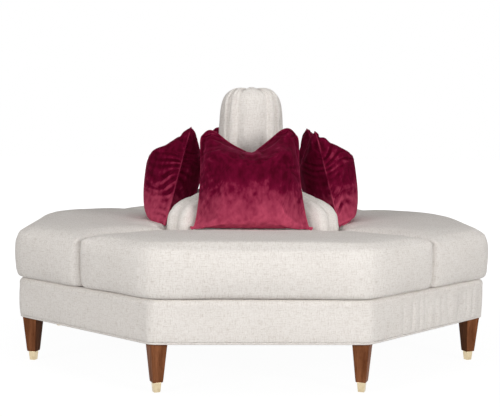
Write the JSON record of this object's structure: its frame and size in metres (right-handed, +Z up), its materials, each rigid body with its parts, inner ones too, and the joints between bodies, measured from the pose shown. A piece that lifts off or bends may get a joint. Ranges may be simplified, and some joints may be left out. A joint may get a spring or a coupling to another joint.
{
  "type": "tete-a-tete settee",
  "caption": "Octagonal tete-a-tete settee: upholstered base on tapered ferruled legs, loose seat cushions, a channelled central back with wings and velvet throw pillows.",
  "frame": {"origin": "on the floor under the middle of the settee", "axes": "+Z up, the front seat faces -Y and the right seat faces +X"},
  "size_m": [1.86, 1.86, 1.0895],
  "materials": {
    "linen": "slubbed linen weave",
    "velvet": "crushed velvet",
    "walnut": "satin lacquer",
    "brass": "brushed",
    "steel": "zinc plated",
    "frame_wood": "unfinished",
    "dust_cloth": "black cambric"
  },
  "bodies": {
    "base_and_back": {"base_rail_right": "frame_wood", "base_rail_back_right": "frame_wood", "base_rail_back": "frame_wood", "base_rail_back_left": "frame_wood", "base_rail_left": "frame_wood", "base_rail_front_left": "frame_wood", "base_rail_front": "frame_wood", "base_rail_front_right": "frame_wood", "corner_block_1": "frame_wood", "corner_block_2": "frame_wood", "corner_block_3": "frame_wood", "corner_block_4": "frame_wood", "corner_block_5": "frame_wood", "corner_block_6": "frame_wood", "corner_block_7": "frame_wood", "corner_block_8": "frame_wood", "leg_1": "walnut", "leg_2": "walnut", "leg_3": "walnut", "leg_4": "walnut", "leg_5": "walnut", "leg_6": "walnut", "leg_7": "walnut", "leg_8": "walnut", "leg_bolt_1": "steel", "leg_bolt_2": "steel", "leg_bolt_3": "steel", "leg_bolt_4": "steel", "leg_bolt_5": "steel", "leg_bolt_6": "steel", "leg_bolt_7": "steel", "leg_bolt_8": "steel", "ferrule_1": "brass", "ferrule_2": "brass", "ferrule_3": "brass", "ferrule_4": "brass", "ferrule_5": "brass", "ferrule_6": "brass", "ferrule_7": "brass", "ferrule_8": "brass", "cross_rail_side_to_side": "frame_wood", "cross_rail_front_to_back": "frame_wood", "deck_board": "frame_wood", "deck_pad": "linen", "dust_cover": "dust_cloth", "base_cover": "linen", "base_welt": "linen", "back_rib_a": "frame_wood", "back_rib_b": "frame_wood", "back_cap_board": "frame_wood", "back_cover": "linen", "back_button": "linen"},
    "seat_front": {"seat_cushion_front": "linen"},
    "pillow_front": {"throw_pillow_front": "velvet"},
    "seat_right": {"seat_cushion_right": "linen"},
    "pillow_right": {"throw_pillow_right": "velvet"},
    "seat_back": {"seat_cushion_back": "linen"},
    "pillow_back": {"throw_pillow_back": "velvet"},
    "seat_left": {"seat_cushion_left": "linen"},
    "pillow_left": {"throw_pillow_left": "velvet"}
  },
  "joints": [
    {"name": "seat_front_lift_off", "type": "slide", "parent": "base_and_back", "child": "seat_front", "axis": [0, 0, 1], "range_m": [0, 0.3]},
    {"name": "pillow_front_lift_off", "type": "slide", "parent": "seat_front", "child": "pillow_front", "axis": [0, -0.5, 0.866], "range_m": [0, 0.25]},
    {"name": "seat_right_lift_off", "type": "slide", "parent": "base_and_back", "child": "seat_right", "axis": [0, 0, 1], "range_m": [0, 0.3]},
    {"name": "pillow_right_lift_off", "type": "slide", "parent": "seat_right", "child": "pillow_right", "axis": [0.5, 0, 0.866], "range_m": [0, 0.25]},
    {"name": "seat_back_lift_off", "type": "slide", "parent": "base_and_back", "child": "seat_back", "axis": [0, 0, 1], "range_m": [0, 0.3]},
    {"name": "pillow_back_lift_off", "type": "slide", "parent": "seat_back", "child": "pillow_back", "axis": [0, 0.5, 0.866], "range_m": [0, 0.25]},
    {"name": "seat_left_lift_off", "type": "slide", "parent": "base_and_back", "child": "seat_left", "axis": [0, 0, 1], "range_m": [0, 0.3]},
    {"name": "pillow_left_lift_off", "type": "slide", "parent": "seat_left", "child": "pillow_left", "axis": [-0.5, 0, 0.866], "range_m": [0, 0.25]}
  ]
}
